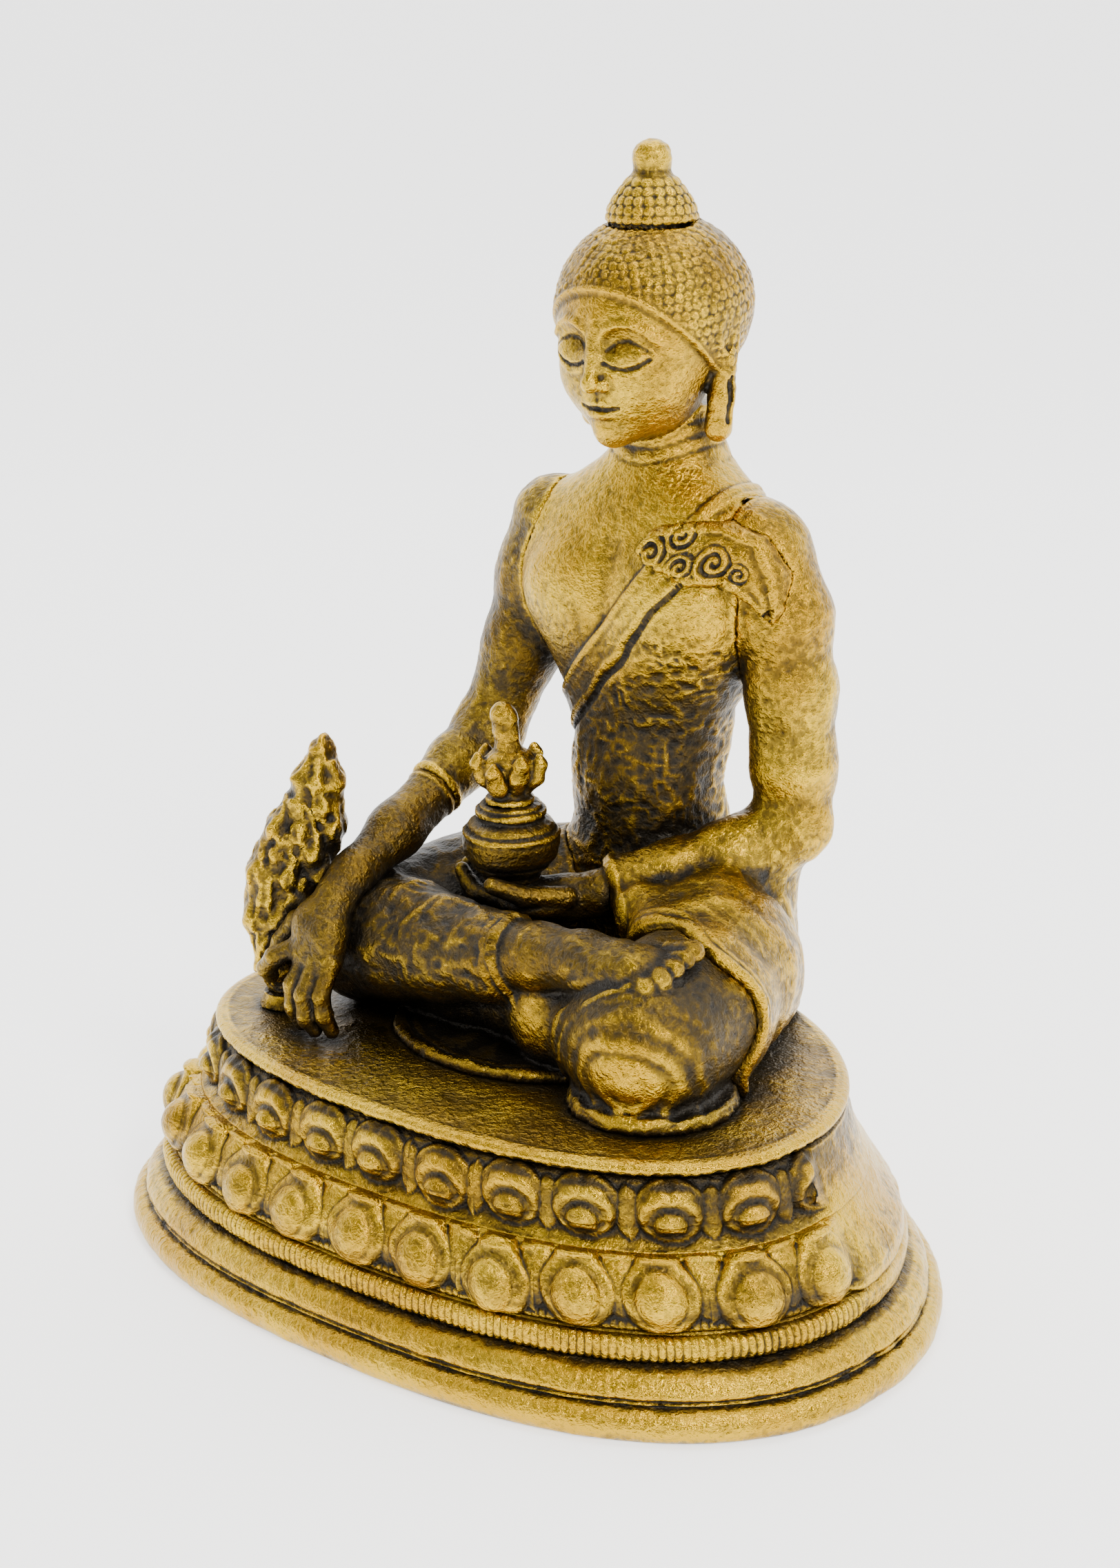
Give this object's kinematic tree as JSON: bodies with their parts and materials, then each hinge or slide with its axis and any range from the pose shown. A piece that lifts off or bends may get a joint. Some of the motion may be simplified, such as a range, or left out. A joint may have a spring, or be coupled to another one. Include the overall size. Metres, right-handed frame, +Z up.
{
  "type": "seated buddha statuette",
  "caption": "Seated cast-brass devotional figure on an oval double-lotus base, with a jar in the lap and a sprig held at one knee; stands on its flat foot ring.",
  "frame": {"origin": "centre of the box of the foot ring, on the surface that the statue stands on", "axes": "+Z up, the longest extent; the statue faces -Y, the shortest extent is Y; +X is the statue's own left"},
  "size_m": [0.15, 0.1094, 0.1816],
  "materials": {
    "cast_brass": "cast, aged, dark brown in the hollows and bright on the worn ridges",
    "dark_brass": "cast, dark brown patina, worn bright at the rim",
    "pin_brass": "drawn rod, cut and peened",
    "copper_sheet": "beaten copper sheet, lightly tarnished",
    "packing_cloth": "folded red cotton",
    "rolled_paper": "rolled handmade paper",
    "stick_wood": "split and planed juniper wood"
  },
  "bodies": {
    "root": {"foot_ring": "cast_brass", "bead_row": "cast_brass", "lower_petal_ring": "cast_brass", "upper_petal_ring": "cast_brass", "seat_plate": "dark_brass", "seal_plate": "copper_sheet", "packing_pad": "packing_cloth", "prayer_rolls": "rolled_paper", "life_stick": "stick_wood", "figure_rivets": "pin_brass", "legs_and_skirt": "cast_brass", "torso": "cast_brass", "shoulder_flap": "cast_brass", "neck_pin": "pin_brass", "head": "cast_brass", "hair_knob": "cast_brass", "right_shoulder_pin": "pin_brass", "right_upper_arm": "cast_brass", "right_elbow_pin": "pin_brass", "right_forearm": "cast_brass", "left_shoulder_pin": "pin_brass", "left_arm_sleeve": "cast_brass", "left_wrist_pin": "pin_brass", "left_hand": "cast_brass", "jar_pin": "pin_brass", "jar_body": "cast_brass", "jar_stopper": "cast_brass", "sprig": "cast_brass", "sprig_foot": "cast_brass"}
  },
  "joints": []
}
